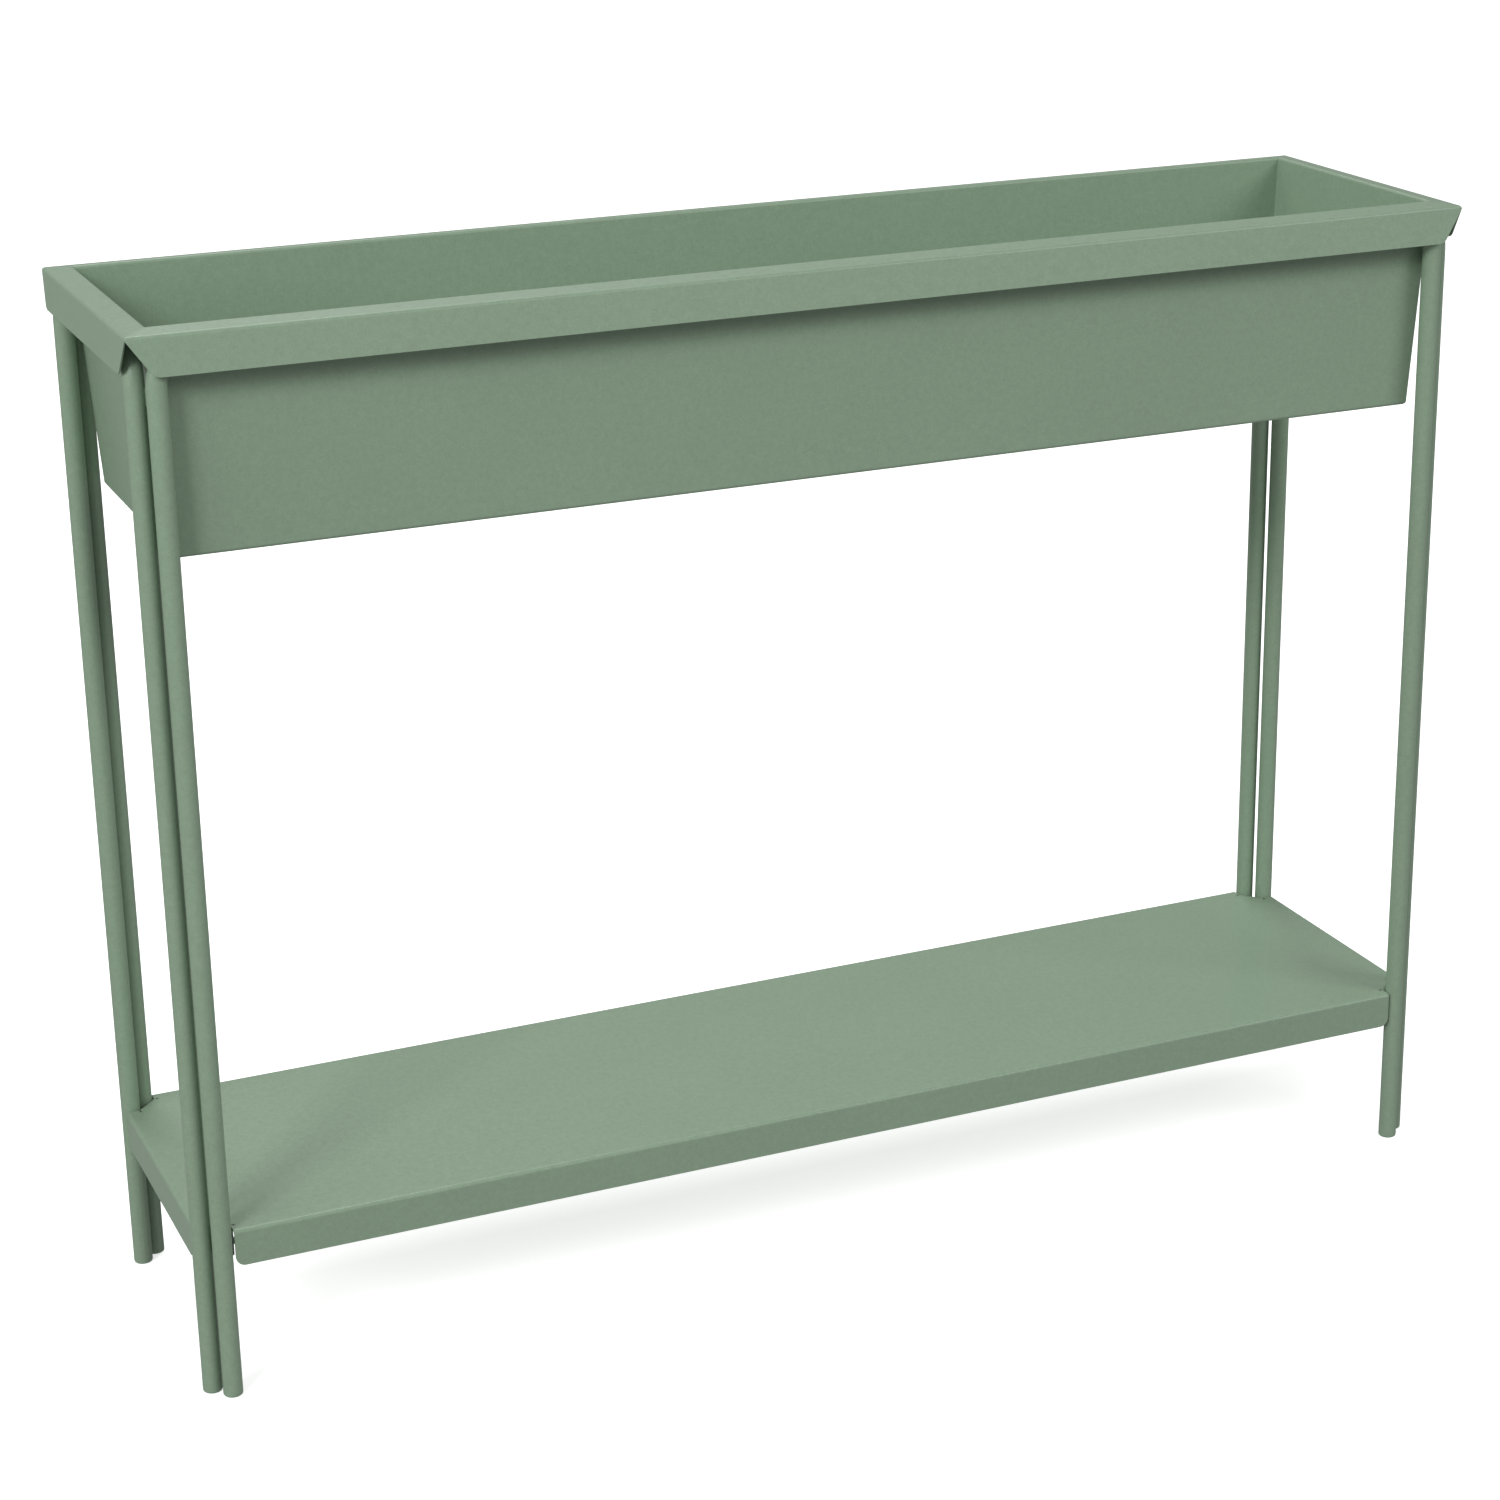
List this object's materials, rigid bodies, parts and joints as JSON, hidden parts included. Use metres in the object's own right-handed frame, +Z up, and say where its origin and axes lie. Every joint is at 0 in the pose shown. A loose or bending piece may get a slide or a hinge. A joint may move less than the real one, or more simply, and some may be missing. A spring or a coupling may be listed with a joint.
{
  "type": "raised planter on legs",
  "caption": "Long narrow folded-steel trough with an outward lip, resting on bent-tube hoop legs, with a folded shelf low between the legs.",
  "frame": {"origin": "on the floor, under the middle of the trough", "axes": "+X along the trough, -Y the front, +Z up"},
  "size_m": [1.0048, 0.2568, 0.765],
  "materials": {
    "trough_coat": "sage green fine-texture powder coat, satin",
    "frame_coat": "sage green fine-texture powder coat, satin",
    "shelf_coat": "sage green fine-texture powder coat, satin",
    "screw_steel": "zinc-plated steel"
  },
  "bodies": {
    "stand": {"front_hoop": "frame_coat", "back_hoop": "frame_coat", "left_hoop": "frame_coat", "right_hoop": "frame_coat", "front_left_weld_pad": "frame_coat", "front_right_weld_pad": "frame_coat", "back_left_weld_pad": "frame_coat", "back_right_weld_pad": "frame_coat", "front_left_foot_long": "frame_coat", "front_left_foot_end": "frame_coat", "front_right_foot_long": "frame_coat", "front_right_foot_end": "frame_coat", "back_left_foot_long": "frame_coat", "back_left_foot_end": "frame_coat", "back_right_foot_long": "frame_coat", "back_right_foot_end": "frame_coat", "shelf": "shelf_coat", "shelf_screws": "screw_steel"},
    "trough": {"trough_channel": "trough_coat", "trough_end_left": "trough_coat", "trough_end_right": "trough_coat"}
  },
  "joints": [
    {"name": "trough_lift", "type": "slide", "parent": "stand", "child": "trough", "axis": [0, 0, 1], "range_m": [0, 0.2]}
  ]
}
